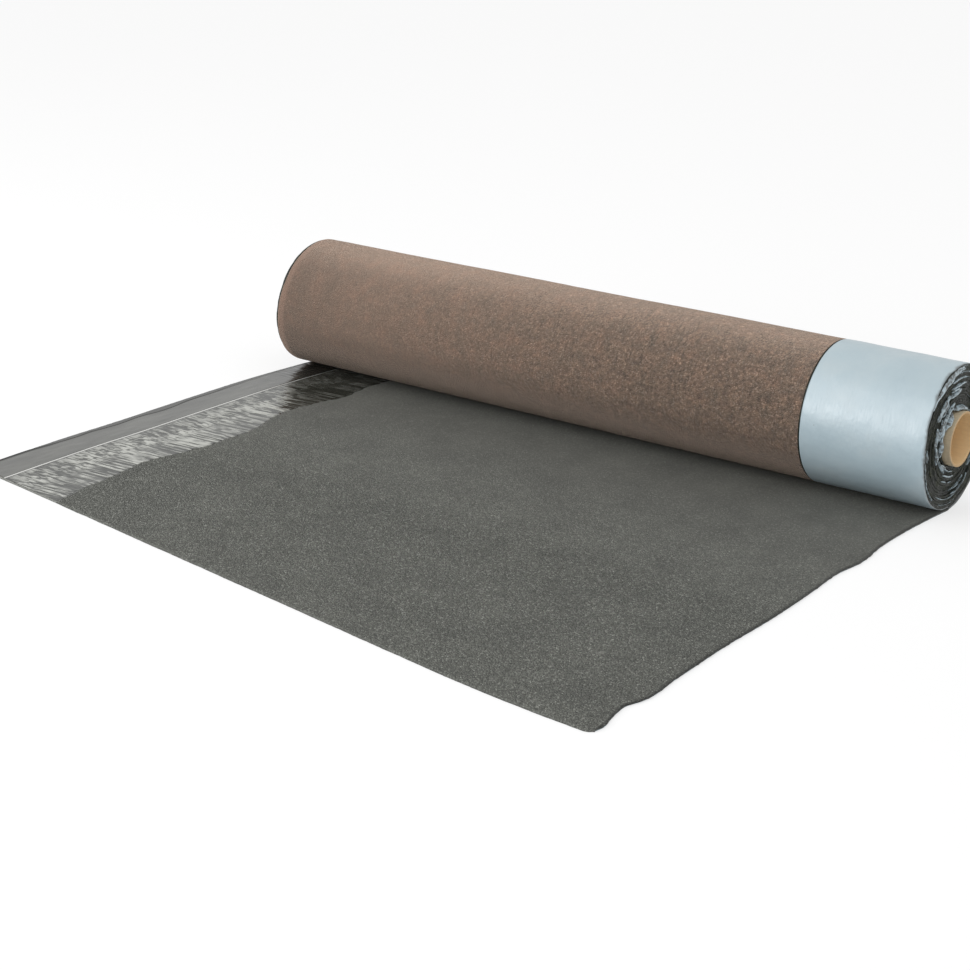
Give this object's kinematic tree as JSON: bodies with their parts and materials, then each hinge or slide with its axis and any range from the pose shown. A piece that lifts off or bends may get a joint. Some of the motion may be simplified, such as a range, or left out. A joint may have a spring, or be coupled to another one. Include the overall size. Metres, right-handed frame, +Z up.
{
  "type": "roll of roofing felt",
  "caption": "Part-used roll of mineral-surfaced bitumen roofing felt on a cardboard core, with a loose tail unrolled in front of it.",
  "frame": {"origin": "on the floor, at the centre of the footprint of the roll and its loose tail", "axes": "+X along the roll to the end with the release film, -Y the way the tail is unrolled, +Z up"},
  "size_m": [1.0299, 0.8632, 0.1836],
  "materials": {
    "bitumen_felt": "mineral granules above, brown sand below, black bitumen at the edges",
    "blue_film": "smooth pale blue release film",
    "clear_tape": "smooth glossy strip over black bitumen",
    "lap_film": "thin wrinkled glossy film over black bitumen",
    "cardboard": "spiral-wound brown paper board"
  },
  "bodies": {
    "root": {"felt_sheet": "bitumen_felt", "underside_release_film": "blue_film", "selvedge_release_tape": "clear_tape", "selvedge_lap_film": "lap_film", "core_tube": "cardboard"}
  },
  "joints": []
}
